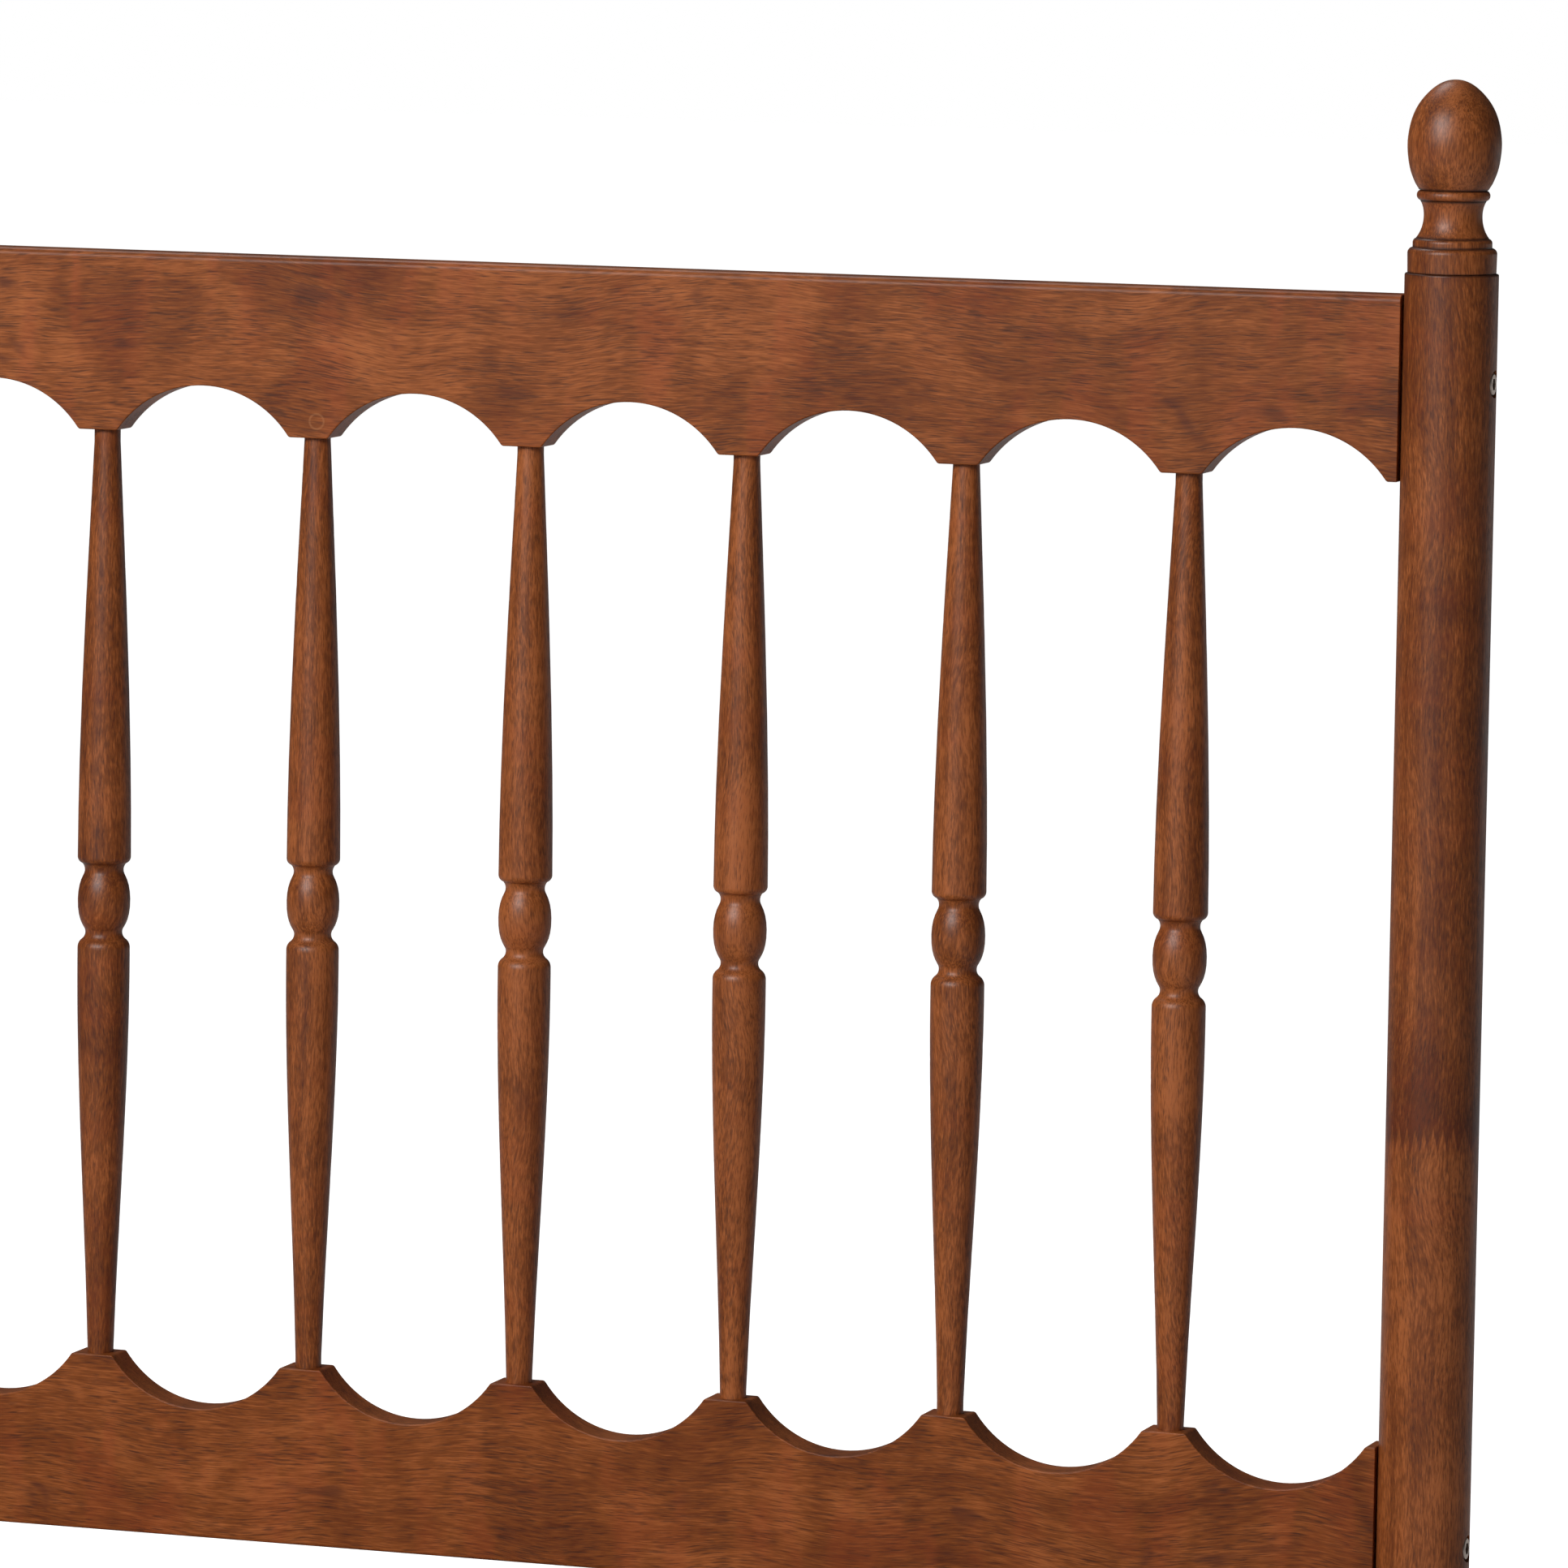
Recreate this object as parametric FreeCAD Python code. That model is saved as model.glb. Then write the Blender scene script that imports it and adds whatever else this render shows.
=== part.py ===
import FreeCAD
import Part
import math
import os

# A queen-size spindle bed, in millimetres. The origin is on the floor under the middle of the bed.
# X runs to the right as seen from the foot, Y runs from foot to head, Z is up.

# Mattress space
mattress_width = 1524.0
mattress_length = 2032.0
mattress_play = 10.0

# Posts
post_diameter = 50.8
head_post_top = 1196.0
foot_post_top = 620.0
post_edge_round = 1.0
seat_flat_depth = 0.2
glide_height = 4.0

# Scalloped rails and their spindles
spindle_count = 11
spindle_pitch = 127.0
rail_thickness = 22.0
scalloped_rail_height = 101.0
post_top_above_rail = 12.0
arch_rise = 27.1
upper_cusp_width = 23.4
lower_cusp_width = 24.7
upper_cusp_shift = -1.7
lower_cusp_shift = -0.9
rail_top_round = 4.0
rail_low_round = 2.0
cusp_corner_round = 2.2
scallop_edge_round = 0.8
rail_end_edge_round = 0.5
rail_end_past_last_spindle = 119.4
head_spindle_length = 527.0
foot_spindle_length = 150.0

# How far each head spindle sits above or below its middle place in the sockets, from -X to +X.
head_spindle_shifts = (1.6, -2.4, 0.8, 2.6, -1.2, -3.3, 2.1, -0.6, -0.2, 3.5, -1.4)

# Head spindle turning: distance from the rail and diameter along each taper
upper_taper = ((4.0, 14.8), (60.0, 19.9), (140.0, 26.4), (239.6, 30.2))
lower_taper = ((4.0, 14.8), (60.0, 18.9), (140.0, 25.8), (235.5, 29.7))
# Height above the bead's middle, and diameter: each cove's shoulder, edge and bottom, then the bead
head_bead_drop = 265.5
upper_cove = ((23.8, 29.0), (22.2, 25.0), (18.6, 22.0))
lower_cove = ((-23.2, 28.3), (-21.1, 24.6), (-18.3, 21.2))
head_bead = ((15.6, 23.4), (10.8, 27.3), (0.0, 29.8), (-9.2, 27.4), (-14.2, 23.0))
tenon_length = 20.0
socket_depth = 25.0

# Foot spindle turning
foot_taper = ((2.0, 14.8), (20.0, 17.4), (53.0, 22.4))
foot_bead_drop = 75.0
foot_upper_cove = ((19.6, 21.2), (18.2, 18.9), (15.4, 17.0))
foot_lower_cove = ((-19.6, 21.2), (-18.2, 18.9), (-15.4, 17.0))
foot_bead = ((12.8, 18.0), (8.7, 21.1), (0.0, 23.0), (-8.7, 21.1), (-12.8, 18.0))

# Plain rails and the slat deck
side_rail_thickness = 25.0
side_rail_bottom = 240.0
side_rail_height = 120.0
side_rail_round = 3.0
bottom_rail_bottom = 250.0
bottom_rail_height = 100.0
ledger_width = 25.0
ledger_height = 28.0
ledger_top = 300.0
ledger_length = 2000.0
slat_count = 13
slat_width = 80.0
slat_thickness = 18.0
slat_length = 1530.0
end_slat_from_middle = 955.0
slat_round = 2.0
beam_width = 50.0
beam_height = 50.0
leg_count = 3
leg_spacing = 640.0
leg_foot_diameter = 34.0
leg_top_diameter = 45.0

# Finial turning, heights above the post's top
finial_height = 104.0
# Height and diameter down the egg, from just below its tip to its bottom
egg_outline = (
    (101.0, 19.6), (96.0, 31.1), (91.0, 38.9), (83.5, 46.0), (76.0, 49.5), (69.0, 50.7),
    (61.0, 49.4), (53.5, 45.9), (48.5, 41.8), (44.9, 37.4),
)
ring_bottom_height = 38.9
ring_diameter = 39.6
cove_outline = ((38.9, 35.6), (33.5, 31.9), (30.6, 31.6), (26.0, 32.7), (18.9, 39.4))
step_top_height = 18.9
step_diameter = 42.9
step_round = 2.5
collar_top_height = 13.9
collar_top_diameter = 48.3
collar_bottom_diameter = 47.9
collar_round = 3.2
collar_foot_round = 0.7

# Fasteners
bolt_diameter = 8.0
bolt_hole_diameter = 8.5
bolt_head_diameter = 12.0
bolt_head_height = 8.0
bolt_head_round = 0.8
hex_across_flats = 6.0
hex_depth = 4.5
counterbore_diameter = 15.0
counterbore_depth = 8.6
bolt_from_cusp = 54.0
nut_from_rail_end = 45.0
nut_diameter = 10.0
nut_hole_depth = 17.0
nut_below_face = 2.0
bolt_past_nut = 8.0
dowel_diameter = 8.0
dowel_in_post = 15.0
dowel_in_rail = 20.0
dowel_from_bolt = 26.0
side_bolt_spread = 76.0
stud_diameter = 8.0
stud_half_length = 22.0
screw_diameter = 4.0
screw_head_diameter = 8.0
slat_screw_length = 40.0
ledger_screw_length = 40.0
bracket_screw_length = 16.0
ledger_screw_count = 8
bracket_plate = 2.0
bracket_depth = 36.0
bracket_wing_width = 22.0
bracket_below_beam_top = 4.0
wing_screw_edge = 12.0
ledger_screw_end = 100.0
screw_tip_diameter = 0.6
glide_diameter = 38.0
glide_round = 1.5
glide_pin_diameter = 5.0
glide_pin_length = 16.0
leg_stud_half_length = 25.0

# Places worked out from the above
post_radius = post_diameter / 2
seat = post_radius - seat_flat_depth
last_spindle_x = (spindle_count - 1) / 2 * spindle_pitch
rail_half_length = last_spindle_x + rail_end_past_last_spindle
post_x = rail_half_length + seat
post_y = (mattress_length + mattress_play + rail_thickness) / 2
side_rail_half_length = post_y - seat
side_rail_inner_x = post_x - side_rail_thickness / 2
end_rail_inner_y = post_y - rail_thickness / 2
head_upper_cusp = head_post_top - post_top_above_rail - scalloped_rail_height
head_lower_cusp = head_upper_cusp - head_spindle_length
foot_upper_cusp = foot_post_top - post_top_above_rail - scalloped_rail_height
foot_lower_cusp = foot_upper_cusp - foot_spindle_length
bottom_rail_middle = bottom_rail_bottom + bottom_rail_height / 2
side_rail_middle = side_rail_bottom + side_rail_height / 2
beam_bottom = ledger_top - beam_height
beam_half_length = end_rail_inner_y - bracket_plate
wing_screw_x = beam_width / 2 + bracket_plate + bracket_wing_width / 2
wing_screw_heights = (beam_bottom + wing_screw_edge, ledger_top - bracket_below_beam_top - wing_screw_edge)

UP = FreeCAD.Vector(0, 0, 1)
RIGHT = FreeCAD.Vector(1, 0, 0)
BACK = FreeCAD.Vector(0, 1, 0)

print("inner width between side rails", 2 * side_rail_inner_x, "for a mattress of", mattress_width)


def point(x, y, z):
    return FreeCAD.Vector(x, y, z)


def box(low, high):
    return Part.makeBox(high.x - low.x, high.y - low.y, high.z - low.z, low)


def rod(start, direction, diameter, length):
    return Part.makeCylinder(diameter / 2, length, start, direction)


def line(a, b):
    return Part.LineSegment(a, b).toShape()


def arc(a, middle, b):
    return Part.Arc(a, middle, b).toShape()


def outline_point(diameter, height):
    return FreeCAD.Vector(diameter / 2, 0, height)


def lathe(edges):
    """Turns a closed outline, drawn at +X beside the Z axis, into a solid."""
    face = Part.Face(Part.Wire(Part.__sortEdges__(edges)))
    return face.revolve(point(0, 0, 0), UP, 360)


def cut_all(body, tools):
    return body.cut(Part.makeCompound(tools)) if tools else body


def edges_where(shape, test):
    return [edge for edge in shape.Edges if test(edge)]


def along(edge, direction):
    """True for a straight edge that runs along a direction."""
    if len(edge.Vertexes) != 2:
        return False
    span = edge.Vertexes[1].Point.sub(edge.Vertexes[0].Point)
    straight = abs(edge.Length - span.Length) < 1e-6
    return straight and abs(abs(span.dot(direction)) - span.Length) < 1e-6


def save(name, solids):
    shape = solids[0] if len(solids) == 1 else Part.makeCompound(solids)
    if not shape.isValid():
        print("not valid:", name)
    shape.exportStep("parts/" + name + ".step")
    print(name, len(shape.Solids), round(sum(solid.Volume for solid in shape.Solids)))


# Turned pieces


def curve_through(points):
    """A smooth curve through these points."""
    curve = Part.BSplineCurve()
    curve.interpolate(points)
    return curve.toShape()


def turned_spindle(length, upper, lower, bead_drop, coves, bead):
    """A spindle whose visible part runs from height 0 down to -length, with a tenon past each end."""
    upper_points = [outline_point(diameter, -distance) for distance, diameter in upper]
    lower_points = [outline_point(diameter, distance - length) for distance, diameter in lower]
    upper_cove_points, lower_cove_points, bead_points = [
        [outline_point(diameter, height - bead_drop) for height, diameter in outline]
        for outline in (*coves, bead)
    ]
    upper_knee, upper_edge, upper_bottom = upper_cove_points
    lower_knee, lower_edge, lower_bottom = lower_cove_points
    tenon_top = outline_point(upper[0][1], tenon_length)
    tenon_bottom = outline_point(lower[0][1], -length - tenon_length)
    edges = [
        line(point(0, 0, tenon_top.z), tenon_top),
        line(tenon_top, upper_points[0]),
        curve_through(upper_points),
        arc(upper_points[-1], upper_knee, upper_edge),
        arc(upper_edge, upper_bottom, bead_points[0]),
        curve_through(bead_points),
        arc(bead_points[-1], lower_bottom, lower_edge),
        arc(lower_edge, lower_knee, lower_points[-1]),
        curve_through(lower_points),
        line(lower_points[0], tenon_bottom),
        line(tenon_bottom, point(0, 0, tenon_bottom.z)),
        line(point(0, 0, tenon_bottom.z), point(0, 0, tenon_top.z)),
    ]
    return lathe(edges)


def rounded_corner(radius, corner):
    """Start, middle and end of a quarter arc round an outline's corner, from above it to below it."""
    bend = radius * (1 - math.sqrt(0.5))
    start = point(corner.x - radius, 0, corner.z)
    return start, point(corner.x - bend, 0, corner.z - bend), point(corner.x, 0, corner.z - radius)


def finial():
    """The egg finial, standing on height 0, bored from below for its stud."""
    egg_top = point(0, 0, finial_height)
    egg_points = [egg_top] + [outline_point(diameter, height) for height, diameter in egg_outline]
    egg_bottom = egg_points[-1]
    egg = Part.BSplineCurve()
    egg.interpolate(Points=egg_points, InitialTangent=RIGHT, FinalTangent=egg_bottom - egg_points[-2])
    ring_radius = (egg_bottom.z - ring_bottom_height) / 2
    ring_inner = ring_diameter - 2 * ring_radius
    ring_top = outline_point(ring_inner, egg_bottom.z)
    ring_bottom = outline_point(ring_inner, ring_bottom_height)
    cove_points = [outline_point(diameter, height) for height, diameter in cove_outline]
    step_corner = outline_point(step_diameter, step_top_height)
    step_start, step_middle, step_end = rounded_corner(step_round, step_corner)
    collar_corner = outline_point(collar_top_diameter, collar_top_height)
    collar_start, collar_middle, collar_end = rounded_corner(collar_round, collar_corner)
    step_foot = outline_point(step_diameter, collar_top_height)
    foot_bend = collar_foot_round * (1 - math.sqrt(0.5))
    foot_start = outline_point(collar_bottom_diameter, collar_foot_round)
    foot_middle = point(foot_start.x - foot_bend, 0, foot_bend)
    foot_end = point(foot_start.x - collar_foot_round, 0, 0)
    edges = [
        egg.toShape(),
        line(egg_bottom, ring_top),
        arc(ring_top, outline_point(ring_diameter, egg_bottom.z - ring_radius), ring_bottom),
        line(ring_bottom, cove_points[0]),
        curve_through(cove_points),
        line(cove_points[-1], step_start),
        arc(step_start, step_middle, step_end),
        line(step_end, step_foot),
        line(step_foot, collar_start),
        arc(collar_start, collar_middle, collar_end),
        line(collar_end, foot_start),
        arc(foot_start, foot_middle, foot_end),
        line(foot_end, point(0, 0, 0)),
        line(point(0, 0, 0), egg_top),
    ]
    return lathe(edges).cut(rod(point(0, 0, 0), UP, stud_diameter, stud_half_length))


def centre_leg():
    """A tapered leg from the glide up to the beam, bored at the top for its stud and below for its glide."""
    height = beam_bottom - glide_height
    leg = Part.makeCone(leg_foot_diameter / 2, leg_top_diameter / 2, height, point(0, 0, glide_height))
    stud_hole = rod(point(0, 0, beam_bottom - leg_stud_half_length), UP, stud_diameter, leg_stud_half_length)
    return cut_all(leg, [stud_hole, glide_pin_hole()])


def glide():
    disc = rod(point(0, 0, 0), UP, glide_diameter, glide_height)
    disc = disc.makeFillet(glide_round, edges_where(disc, lambda edge: edge.BoundBox.ZMax < 0.1))
    return disc.fuse(rod(point(0, 0, glide_height), UP, glide_pin_diameter, glide_pin_length))


def glide_pin_hole():
    return rod(point(0, 0, glide_height), UP, glide_pin_diameter, glide_pin_length)


# Fasteners


def socket_bolt(length):
    """A bolt along +X: its seat is at the origin, its head at -X and its shank at +X."""
    head = rod(point(-bolt_head_height, 0, 0), RIGHT, bolt_head_diameter, bolt_head_height)
    rim = edges_where(head, lambda edge: edge.BoundBox.XMax < 0.1 - bolt_head_height)
    head = head.makeFillet(bolt_head_round, rim)
    corner = hex_across_flats / math.sqrt(3)
    turns = [math.radians(60 * side) for side in range(7)]
    corners = [point(-bolt_head_height, corner * math.cos(turn), corner * math.sin(turn)) for turn in turns]
    hexagon = Part.Face(Part.makePolygon(corners)).extrude(point(hex_depth, 0, 0))
    return head.cut(hexagon).fuse(rod(point(0, 0, 0), RIGHT, bolt_diameter, length))


def wood_screw(length):
    """A countersunk screw down -Z from a head that is flush with height 0."""
    head_height = (screw_head_diameter - screw_diameter) / 2
    head = Part.makeCone(screw_diameter / 2, screw_head_diameter / 2, head_height, point(0, 0, -head_height))
    shank_length = length - head_height - screw_diameter
    shank = rod(point(0, 0, -head_height - shank_length), UP, screw_diameter, shank_length)
    tip = Part.makeCone(screw_tip_diameter / 2, screw_diameter / 2, screw_diameter, point(0, 0, -length))
    return head.fuse([shank, tip]).removeSplitter()


def placed(shape, position, axis=None, degrees=0.0):
    """A copy of shape, turned about an axis through the origin and then moved."""
    copy = shape.copy()
    if axis is not None:
        copy.rotate(point(0, 0, 0), axis, degrees)
    copy.translate(position)
    return copy


bolt_length = seat + post_radius - counterbore_depth + nut_from_rail_end + bolt_past_nut
master_bolt = socket_bolt(bolt_length)
slat_screw = wood_screw(slat_screw_length)
ledger_screw = wood_screw(ledger_screw_length)
bracket_screw = wood_screw(bracket_screw_length)


def end_bolt_heights(end):
    """Heights of the bolts that run along X at the head (1) or the foot (-1), and the rail of each."""
    if end == 1:
        return (head_upper_cusp + bolt_from_cusp, head_lower_cusp - bolt_from_cusp, bottom_rail_middle)
    return (foot_upper_cusp + bolt_from_cusp, foot_lower_cusp - bolt_from_cusp)


def side_bolt_heights():
    return (side_rail_middle - side_bolt_spread / 2, side_rail_middle + side_bolt_spread / 2)


def dowel_heights(bolt_height):
    return (bolt_height - dowel_from_bolt, bolt_height + dowel_from_bolt)


def post_rail_spans(end):
    """The heights that each cross rail covers on a post, lowest and highest."""
    tall = scalloped_rail_height
    if end == 1:
        return (
            (head_upper_cusp, head_upper_cusp + tall),
            (head_lower_cusp - tall, head_lower_cusp),
            (bottom_rail_bottom, bottom_rail_bottom + bottom_rail_height),
        )
    return ((foot_upper_cusp, foot_upper_cusp + tall), (foot_lower_cusp - tall, foot_lower_cusp))


# Posts


def bolt_way(towards):
    """The counterbore and hole through a post at the origin, for a bolt that travels along towards."""
    outer = towards * -post_radius
    pocket = rod(outer - towards, towards, counterbore_diameter, counterbore_depth + 1)
    hole = rod(outer, towards, bolt_hole_diameter, post_diameter)
    return pocket.fuse(hole)


def seat_cutter(towards, low, high):
    """What is milled away from a post at the origin to leave a flat that faces along towards."""
    side = towards.cross(UP)
    start = towards * seat
    near = start - side * post_radius
    far = start + towards * post_radius + side * post_radius
    corner = point(min(near.x, far.x), min(near.y, far.y), low)
    size = point(abs(far.x - near.x), abs(far.y - near.y), high - low)
    return Part.makeBox(size.x, size.y, size.z, corner)


def post(side, end):
    """A post at the origin; side is 1 on the right, and end is 1 at the head."""
    top = post_top(end)
    inward_x = RIGHT * -side
    inward_y = BACK * -end
    body = rod(point(0, 0, glide_height), UP, post_diameter, top - glide_height)
    ends = edges_where(body, lambda edge: edge.BoundBox.ZLength < 0.1)
    body = body.makeFillet(post_edge_round, ends)
    tools = [seat_cutter(inward_x, low, high) for low, high in post_rail_spans(end)]
    tools.append(seat_cutter(inward_y, side_rail_bottom, side_rail_bottom + side_rail_height))
    for height in end_bolt_heights(end):
        tools.append(placed(bolt_way(inward_x), point(0, 0, height)))
        for dowel_height in dowel_heights(height):
            start = inward_x * (seat - dowel_in_post) + point(0, 0, dowel_height)
            tools.append(rod(start, inward_x, dowel_diameter, dowel_in_post))
    for height in side_bolt_heights():
        tools.append(placed(bolt_way(inward_y), point(0, 0, height)))
    start = inward_y * (seat - dowel_in_post) + point(0, 0, side_rail_middle)
    tools.append(rod(start, inward_y, dowel_diameter, dowel_in_post))
    tools.append(rod(point(0, 0, top - stud_half_length), UP, stud_diameter, stud_half_length))
    tools.append(glide_pin_hole())
    return cut_all(body, tools)


# Rails


def scalloped_rail(cusp_width, cusp_shift, far_edge_round, nut_side):
    """A rail whose scallops face down with their cusps at height 0; it is centred on X and Y.

    cusp_shift is how far the cusps sit to the right of their spindles.
    """
    half_chord = (spindle_pitch - cusp_width) / 2
    edges = []
    here = point(-rail_half_length, 0, 0)
    for index in range(spindle_count + 1):
        middle = (index - spindle_count / 2) * spindle_pitch + cusp_shift
        start = point(middle - half_chord, 0, 0)
        end = point(middle + half_chord, 0, 0)
        edges.append(line(here, start))
        edges.append(arc(start, point(middle, 0, arch_rise), end))
        here = end
    right_foot = point(rail_half_length, 0, 0)
    right_top = point(rail_half_length, 0, scalloped_rail_height)
    left_top = point(-rail_half_length, 0, scalloped_rail_height)
    left_foot = point(-rail_half_length, 0, 0)
    edges += [line(here, right_foot), line(right_foot, right_top), line(right_top, left_top)]
    edges.append(line(left_top, left_foot))
    board = Part.Face(Part.Wire(edges)).extrude(point(0, rail_thickness, 0))
    board.translate(point(0, -rail_thickness / 2, 0))
    corners = edges_where(board, lambda edge: along(edge, BACK) and at_cusp(edge))
    board = board.makeFillet(cusp_corner_round, corners)
    rims = edges_where(board, on_scallop_rim)
    board = board.makeFillet(scallop_edge_round, rims)
    top_edges = edges_where(board, lambda edge: along(edge, RIGHT) and edge.BoundBox.ZMin > arch_rise + 1)
    board = board.makeFillet(far_edge_round, top_edges)
    board = board.makeFillet(rail_end_edge_round, edges_where(board, on_rail_end))
    tools = rail_end_holes(bolt_from_cusp, nut_side)
    tools += [rod(point(x, 0, 0), UP, upper_taper[0][1], socket_depth) for x in spindle_places()]
    return cut_all(board, tools)


def at_cusp(edge):
    """True for the sharp edges across the board at height 0, other than the two at its ends."""
    return edge.BoundBox.ZMax < 0.1 and abs(edge.BoundBox.Center.x) < rail_half_length - 0.1


def on_scallop_rim(edge):
    """True for the front and back edges that follow the scallops."""
    bounds = edge.BoundBox
    on_face = abs(abs(bounds.Center.y) - rail_thickness / 2) < 0.01 and bounds.YLength < 0.01
    return on_face and bounds.ZMax < arch_rise + 1


def on_rail_end(edge):
    """True for the edges round a cross rail's two end faces."""
    bounds = edge.BoundBox
    return bounds.XLength < 0.01 and abs(abs(bounds.Center.x) - rail_half_length) < 0.01


def rail_end_holes(bolt_height, nut_side):
    """Bolt, nut and dowel holes at a rail's two ends; nut_side is the face that the nuts go in by."""
    tools = []
    for side in (-1, 1):
        outward = RIGHT * side
        end = outward * rail_half_length
        bolt_start = end - outward * (nut_from_rail_end + bolt_past_nut) + point(0, 0, bolt_height)
        tools.append(rod(bolt_start, outward, bolt_hole_diameter, nut_from_rail_end + bolt_past_nut))
        nut_face = end - outward * nut_from_rail_end + point(0, nut_side * rail_thickness / 2, bolt_height)
        tools.append(rod(nut_face, BACK * -nut_side, nut_diameter, nut_hole_depth))
        for height in dowel_heights(bolt_height):
            dowel_start = end - outward * dowel_in_rail + point(0, 0, height)
            tools.append(rod(dowel_start, outward, dowel_diameter, dowel_in_rail))
    return tools


def spindle_places():
    return [(index - (spindle_count - 1) / 2) * spindle_pitch for index in range(spindle_count)]


def upper_rail(cusp_height, end):
    """The nuts go in from behind at the head, and from the mattress side at the foot."""
    board = scalloped_rail(upper_cusp_width, upper_cusp_shift, rail_top_round, 1)
    return placed(board, point(0, post_y * end, cusp_height))


def lower_rail(cusp_height, end):
    """The same board turned over, so that its scallops face up."""
    board = scalloped_rail(lower_cusp_width, lower_cusp_shift, rail_low_round, -1)
    board = placed(board, point(0, post_y * end, cusp_height), RIGHT, 180)
    return cut_all(board, placed_wing_screws()) if end == -1 else board


def bottom_rail():
    low = point(-rail_half_length, -rail_thickness / 2, 0)
    high = point(rail_half_length, rail_thickness / 2, bottom_rail_height)
    board = box(low, high)
    board = board.makeFillet(rail_low_round, edges_where(board, lambda edge: along(edge, RIGHT)))
    board = board.makeFillet(rail_end_edge_round, edges_where(board, on_rail_end))
    board = cut_all(board, rail_end_holes(bottom_rail_height / 2, 1))
    board.translate(point(0, post_y, bottom_rail_bottom))
    return cut_all(board, placed_wing_screws())


def side_rail(side):
    middle = side * post_x
    half = side_rail_thickness / 2
    low = point(middle - half, -side_rail_half_length, side_rail_bottom)
    high = point(middle + half, side_rail_half_length, side_rail_bottom + side_rail_height)
    board = box(low, high)
    board = board.makeFillet(side_rail_round, edges_where(board, lambda edge: along(edge, BACK)))
    tools = []
    for end in (-1, 1):
        outward = BACK * end
        face = point(middle, end * side_rail_half_length, 0)
        for height in side_bolt_heights():
            start = face - outward * (nut_from_rail_end + bolt_past_nut) + point(0, 0, height)
            tools.append(rod(start, outward, bolt_hole_diameter, nut_from_rail_end + bolt_past_nut))
            nut_face = face - outward * nut_from_rail_end + point(-side * half, 0, height)
            tools.append(rod(nut_face, RIGHT * side, nut_diameter, nut_hole_depth))
        dowel_start = face - outward * dowel_in_rail + point(0, 0, side_rail_middle)
        tools.append(rod(dowel_start, outward, dowel_diameter, dowel_in_rail))
    tools += placed_ledger_screws(side)
    return cut_all(board, tools)


# Slat deck


def slat_places():
    pitch = 2 * end_slat_from_middle / (slat_count - 1)
    return [index * pitch - end_slat_from_middle for index in range(slat_count)]


def ledger_middle_x():
    return side_rail_inner_x - ledger_width / 2


def placed_ledger_screws(side):
    """Screws from the bed's inside through the ledger into the side rail, between the slats."""
    spread = ledger_length - 2 * ledger_screw_end
    screws = []
    for index in range(ledger_screw_count):
        y = index * spread / (ledger_screw_count - 1) - spread / 2
        place = point(side * (side_rail_inner_x - ledger_width), y, ledger_top - ledger_height / 2)
        screws.append(placed(ledger_screw, place, BACK, -90 * side))
    return screws


def placed_slat_screws():
    """One screw down through each slat into each ledger and into the centre beam."""
    top = ledger_top + slat_thickness
    return [
        placed(slat_screw, point(x, y, top))
        for y in slat_places()
        for x in (-ledger_middle_x(), 0.0, ledger_middle_x())
    ]


def ledger(side):
    near = side * side_rail_inner_x
    far = near - side * ledger_width
    low = point(min(near, far), -ledger_length / 2, ledger_top - ledger_height)
    high = point(max(near, far), ledger_length / 2, ledger_top)
    return cut_all(box(low, high), placed_ledger_screws(side) + placed_slat_screws())


def slat(y):
    low = point(-slat_length / 2, y - slat_width / 2, ledger_top)
    high = point(slat_length / 2, y + slat_width / 2, ledger_top + slat_thickness)
    board = box(low, high)
    board = board.makeFillet(slat_round, edges_where(board, lambda edge: along(edge, RIGHT)))
    return board


def slats():
    return [cut_all(slat(y), placed_slat_screws()) for y in slat_places()]


def leg_places():
    return [(index - (leg_count - 1) / 2) * leg_spacing for index in range(leg_count)]


def centre_beam():
    low = point(-beam_width / 2, -beam_half_length, beam_bottom)
    high = point(beam_width / 2, beam_half_length, ledger_top)
    tools = placed_slat_screws()
    tools += [rod(point(0, y, beam_bottom), UP, stud_diameter, leg_stud_half_length) for y in leg_places()]
    tools += placed_cheek_screws()
    return cut_all(box(low, high), tools)


def beam_bracket(end):
    """A folded steel hanger: wings on the end rail, a shelf under the beam, a cheek on each side of it."""
    plate = bracket_plate
    half = beam_width / 2 + plate
    wing = half + bracket_wing_width
    shelf_bottom = beam_bottom - plate
    top = ledger_top - bracket_below_beam_top
    inner = end_rail_inner_y
    front = inner - bracket_depth
    back = box(point(-wing, inner - plate, shelf_bottom), point(wing, inner, top))
    shelf = box(point(-half, front, shelf_bottom), point(half, inner, beam_bottom))
    cheeks = [
        box(point(-half, front, shelf_bottom), point(plate - half, inner, top)),
        box(point(half - plate, front, shelf_bottom), point(half, inner, top)),
    ]
    bracket = back.fuse([shelf] + cheeks).removeSplitter()
    if end == -1:
        bracket.rotate(point(0, 0, 0), UP, 180)
    return bracket.cut(Part.makeCompound(placed_wing_screws() + placed_cheek_screws()))


def placed_wing_screws():
    """Screws through the hangers' wings into the head bottom rail and the foot's lower rail."""
    screws = []
    for end in (-1, 1):
        for x in (-wing_screw_x, wing_screw_x):
            for height in wing_screw_heights:
                place = point(x, end * (end_rail_inner_y - bracket_plate), height)
                screws.append(placed(bracket_screw, place, RIGHT, 90 * end))
    return screws


def placed_cheek_screws():
    """A screw through each cheek of each hanger into the beam."""
    screws = []
    for end in (-1, 1):
        for side in (-1, 1):
            x = side * (beam_width / 2 + bracket_plate)
            place = point(x, end * (end_rail_inner_y - bracket_depth / 2), beam_bottom + beam_height / 2)
            screws.append(placed(bracket_screw, place, BACK, 90 * side))
    return screws


# Groups of fasteners


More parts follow.
